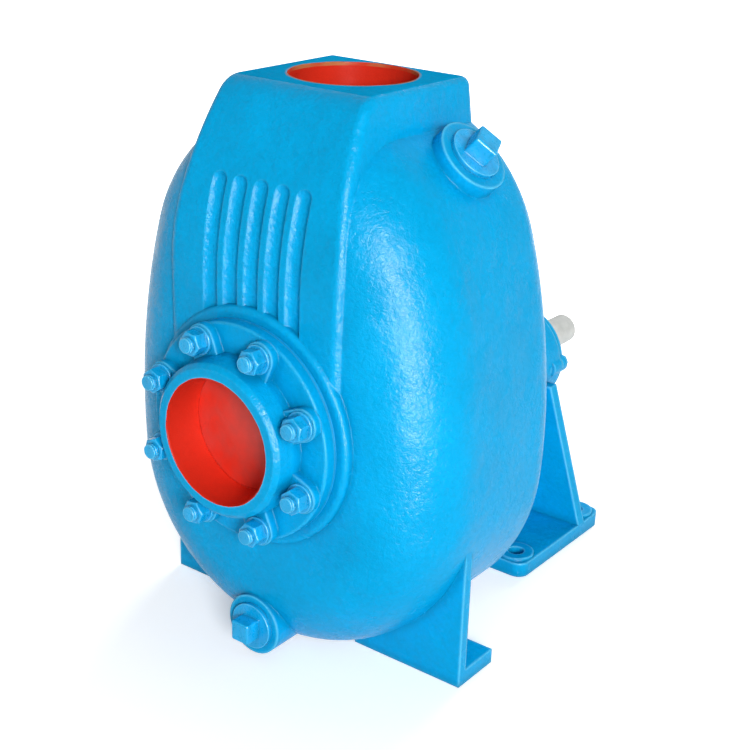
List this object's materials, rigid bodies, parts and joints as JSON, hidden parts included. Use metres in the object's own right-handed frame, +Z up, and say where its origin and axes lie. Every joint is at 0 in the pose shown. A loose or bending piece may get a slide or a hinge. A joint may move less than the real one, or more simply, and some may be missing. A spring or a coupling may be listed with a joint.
{
  "type": "self-priming centrifugal pump",
  "caption": "Self-priming centrifugal pump: rounded cast tank with fluted front, round bolted suction flange and flap valve, square top discharge, footed bearing frame with bare shaft end.",
  "frame": {"origin": "middle of the footprint, on the plane the feet stand on", "axes": "+X across the pump to its right seen from the suction, +Y along the shaft from the suction to the driven end, +Z up through the discharge"},
  "size_m": [0.3536, 0.576, 0.511],
  "materials": {
    "blue_paint": "gloss",
    "port_primer": "satin",
    "cast_iron": "rough",
    "bare_steel": "satin",
    "zinc_steel": "satin",
    "bearing_steel": "polished",
    "bronze": "satin",
    "black_rubber": "matte",
    "red_rubber": "matte",
    "gasket_sheet": "matte",
    "seal_ceramic": "gloss",
    "seal_carbon": "matte"
  },
  "bodies": {
    "housing": {"pump_casing": "blue_paint", "suction_flange": "blue_paint", "suction_gasket": "gasket_sheet", "flange_studs": "blue_paint", "flange_washers": "blue_paint", "flange_nuts": "blue_paint", "valve_hinge_pin": "bare_steel", "wear_plate": "cast_iron", "wear_plate_screws": "bare_steel", "seal_seat": "seal_ceramic", "seal_seat_cup": "black_rubber", "seal_plate": "cast_iron", "seal_plate_ring": "gasket_sheet", "frame_bolts": "blue_paint", "bearing_frame": "blue_paint", "inboard_outer_race": "bearing_steel", "outboard_outer_race": "bearing_steel", "inboard_lip_seal": "black_rubber", "outboard_lip_seal": "black_rubber", "bearing_cap": "blue_paint", "bearing_cap_gasket": "gasket_sheet", "bearing_cap_bolts": "blue_paint"},
    "rotor": {"impeller": "cast_iron", "impeller_key": "bare_steel", "impeller_washer": "bare_steel", "impeller_bolt": "bare_steel", "shaft": "bare_steel", "shaft_sleeve": "bronze", "seal_face": "seal_carbon", "seal_bellows": "black_rubber", "seal_spring": "bare_steel", "seal_retainer": "bare_steel", "inboard_inner_race": "bearing_steel", "outboard_inner_race": "bearing_steel", "retaining_ring": "bare_steel", "water_slinger": "black_rubber"},
    "flap": {"valve_disc": "red_rubber", "valve_backing_plate": "bare_steel", "valve_arm": "bare_steel", "valve_bolt": "bare_steel"},
    "inboard_ball_set": {"inboard_balls": "bearing_steel", "inboard_cage": "bronze"},
    "outboard_ball_set": {"outboard_balls": "bearing_steel", "outboard_cage": "bronze"},
    "fill_plug_body": {"fill_plug": "blue_paint"},
    "drain_plug_body": {"drain_plug": "blue_paint"}
  },
  "joints": [
    {"name": "rotor_spin", "type": "hinge", "parent": "housing", "child": "rotor", "pos_m": [0, 0, 0.1734], "axis": [0, 1, 0], "continuous": true},
    {"name": "flap_swing", "type": "hinge", "parent": "housing", "child": "flap", "pos_m": [0, -0.242, 0.2945], "axis": [1, 0, 0], "range_deg": [0, 45]},
    {"name": "inboard_cage_spin", "type": "hinge", "parent": "housing", "child": "inboard_ball_set", "pos_m": [0, 0.0875, 0.1734], "axis": [0, 1, 0], "continuous": true},
    {"name": "outboard_cage_spin", "type": "hinge", "parent": "housing", "child": "outboard_ball_set", "pos_m": [0, 0.1635, 0.1734], "axis": [0, 1, 0], "continuous": true},
    {"name": "fill_plug_out", "type": "slide", "parent": "housing", "child": "fill_plug_body", "axis": [0.7009, 0, 0.7133], "range_m": [0, 0.05]},
    {"name": "drain_plug_out", "type": "slide", "parent": "housing", "child": "drain_plug_body", "axis": [0, -1, 0], "range_m": [0, 0.05]}
  ],
  "couplings": [
    {"joint": "inboard_cage_spin", "follows": "rotor_spin", "ratio": 0.3846},
    {"joint": "outboard_cage_spin", "follows": "rotor_spin", "ratio": 0.3846}
  ]
}
